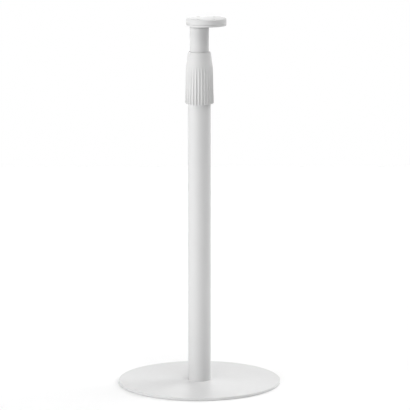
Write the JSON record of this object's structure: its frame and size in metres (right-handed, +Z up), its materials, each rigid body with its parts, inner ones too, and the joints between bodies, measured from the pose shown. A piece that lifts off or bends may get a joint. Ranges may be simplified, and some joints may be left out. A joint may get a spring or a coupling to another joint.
{
  "type": "customer pole display stand",
  "caption": "Free-standing telescopic pole for a customer-facing display, with a weighted round base, a fluted twist lock and an off-centre round swivelling mounting head.",
  "frame": {"origin": "pole axis on the surface that the rubber feet rest on, which is the centre of the round base", "axes": "+Z up along the pole, +X towards the side that the mounting head overhangs, +Y completes a right-handed frame"},
  "size_m": [0.216, 0.216, 0.4896],
  "materials": {
    "white_powder_coat": "satin white powder coat with a very fine orange peel",
    "white_plastic": "fine-grained matte white moulding",
    "pale_rubber": "pale grey-white soft rubber",
    "dark_rubber": "black rubber",
    "natural_nylon": "natural off-white nylon",
    "zinc_steel": "zinc-plated steel",
    "plain_aluminium": "as turned",
    "insert_brass": "as turned"
  },
  "bodies": {
    "stand": {"base_plate": "white_powder_coat", "foot_pad_1": "pale_rubber", "foot_pad_2": "pale_rubber", "foot_pad_3": "pale_rubber", "foot_pad_4": "pale_rubber", "foot_pad_5": "pale_rubber", "foot_pad_6": "pale_rubber", "base_screw_1": "zinc_steel", "base_screw_2": "zinc_steel", "base_screw_3": "zinc_steel", "foot_plug": "plain_aluminium", "end_bumper": "dark_rubber", "outer_tube": "white_powder_coat", "collet_body": "natural_nylon", "collet_rivet_1": "plain_aluminium", "collet_rivet_2": "plain_aluminium", "snap_ring": "zinc_steel"},
    "twist_sleeve": {"lock_sleeve": "white_plastic", "wiper_ring": "pale_rubber"},
    "wedge_ring": {"clamp_cone": "natural_nylon"},
    "inner_pole": {"inner_tube": "white_powder_coat", "guide_bush": "natural_nylon", "bush_rivet_1": "plain_aluminium", "bush_rivet_2": "plain_aluminium", "swivel_spigot": "white_powder_coat", "friction_washer": "natural_nylon", "spring_washer": "zinc_steel", "retaining_washer": "zinc_steel", "swivel_screw": "zinc_steel"},
    "head": {"head_tray": "white_plastic", "head_cap": "white_plastic", "threaded_insert_1": "insert_brass", "threaded_insert_2": "insert_brass", "threaded_insert_3": "insert_brass", "threaded_insert_4": "insert_brass", "tray_screw_1": "zinc_steel", "tray_screw_2": "zinc_steel", "tray_screw_3": "zinc_steel"}
  },
  "joints": [
    {"name": "pole_slide", "type": "slide", "parent": "stand", "child": "inner_pole", "axis": [0, 0, 1], "range_m": [0, 0.3]},
    {"name": "lock_turn", "type": "hinge", "parent": "stand", "child": "twist_sleeve", "pos_m": [0, 0, 0.41], "axis": [0, 0, 1], "range_deg": [0, 120]},
    {"name": "wedge_travel", "type": "slide", "parent": "stand", "child": "wedge_ring", "axis": [0, 0, 1], "range_m": [0, 0.001]},
    {"name": "head_swivel", "type": "hinge", "parent": "inner_pole", "child": "head", "pos_m": [0, 0, 0.48], "axis": [0, 0, 1], "continuous": true}
  ],
  "couplings": [
    {"joint": "wedge_travel", "follows": "lock_turn", "m_per_rad": 0.000477}
  ]
}
